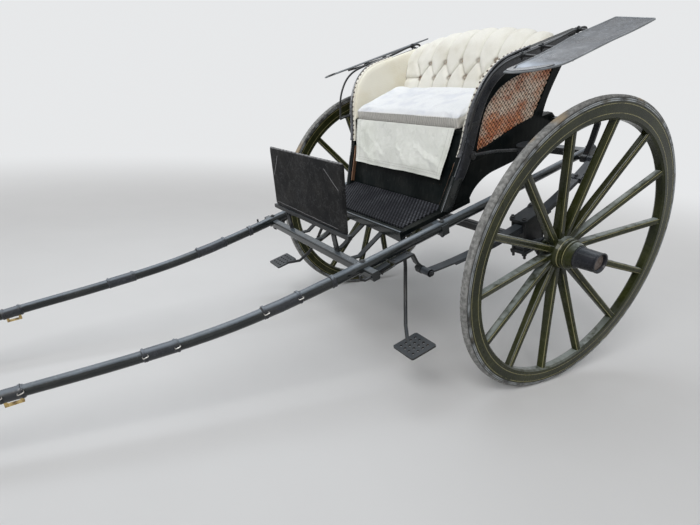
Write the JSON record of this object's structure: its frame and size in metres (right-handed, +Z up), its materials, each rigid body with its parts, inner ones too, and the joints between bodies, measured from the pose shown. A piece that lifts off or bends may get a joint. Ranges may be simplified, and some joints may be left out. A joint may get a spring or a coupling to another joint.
{
  "type": "horse drawn carriage",
  "caption": "Light horse-drawn gig with a buttoned seat, cane side panels, leather dash and wings, and bent shafts, parked on its shaft tips; its wheels turn freely.",
  "frame": {"origin": "on the ground, in the carriage's middle plane, half way between the front of the shaft tips and the back of the wheels", "axes": "+X towards the carriage's left side, -Y towards the shaft tips, +Z up, as it stands parked nose down on its shaft tips"},
  "size_m": [1.684, 3.3876, 1.4978],
  "materials": {
    "shaft_paint": "gloss black paint over ash",
    "body_paint": "very dark green coach paint",
    "cane": "varnished woven cane",
    "leather": "black enamelled leather, worn at the edges",
    "cloth": "cream canvas",
    "matting": "ribbed dark matting",
    "iron": "black painted iron",
    "spring_steel": "black painted spring steel",
    "brass": "dulled brass",
    "wheel_paint": "olive green coach paint with yellow lining",
    "channel_steel": "dark steel, worn",
    "tyre_rubber": "grey solid rubber",
    "hub_paint": "gloss black"
  },
  "bodies": {
    "carriage": {"arm_pads": "cloth", "arm_rolls": "leather", "axle": "iron", "back_pad": "cloth", "body_side_left": "body_paint", "body_side_right": "body_paint", "box_back": "body_paint", "box_bottom": "body_paint", "cane_panels": "cane", "dash_board": "leather", "dash_irons": "iron", "dash_rail": "iron", "floor_board": "body_paint", "floor_irons": "iron", "floor_lip": "body_paint", "floor_mat": "matting", "front_spring_irons": "iron", "lamp_sockets": "iron", "leaf_springs": "spring_steel", "middle_cross_bar": "shaft_paint", "rear_cross_bar": "shaft_paint", "rear_spring_irons": "iron", "seat_apron": "cloth", "seat_back_board": "body_paint", "seat_board": "body_paint", "seat_cushion": "cloth", "seat_riser": "body_paint", "shaft_left": "shaft_paint", "shaft_right": "shaft_paint", "splinter_bar": "shaft_paint", "spring_blocks": "iron", "steps": "iron", "trace_irons": "iron", "tug_stops": "brass", "wing_irons": "iron", "wings": "leather"},
    "left_wheel": {"wheel_wood_left": "wheel_paint", "felloe_left": "wheel_paint", "tyre_channel_left": "channel_steel", "rubber_tyre_left": "tyre_rubber", "hub_band_left": "hub_paint"},
    "right_wheel": {"wheel_wood_right": "wheel_paint", "felloe_right": "wheel_paint", "tyre_channel_right": "channel_steel", "rubber_tyre_right": "tyre_rubber", "hub_band_right": "hub_paint"}
  },
  "joints": [
    {"name": "left_wheel_spin", "type": "hinge", "parent": "carriage", "child": "left_wheel", "pos_m": [0.674, 1.08384, 0.61], "axis": [1, 0, 0], "continuous": true},
    {"name": "right_wheel_spin", "type": "hinge", "parent": "carriage", "child": "right_wheel", "pos_m": [-0.674, 1.08384, 0.61], "axis": [1, 0, 0], "continuous": true}
  ]
}
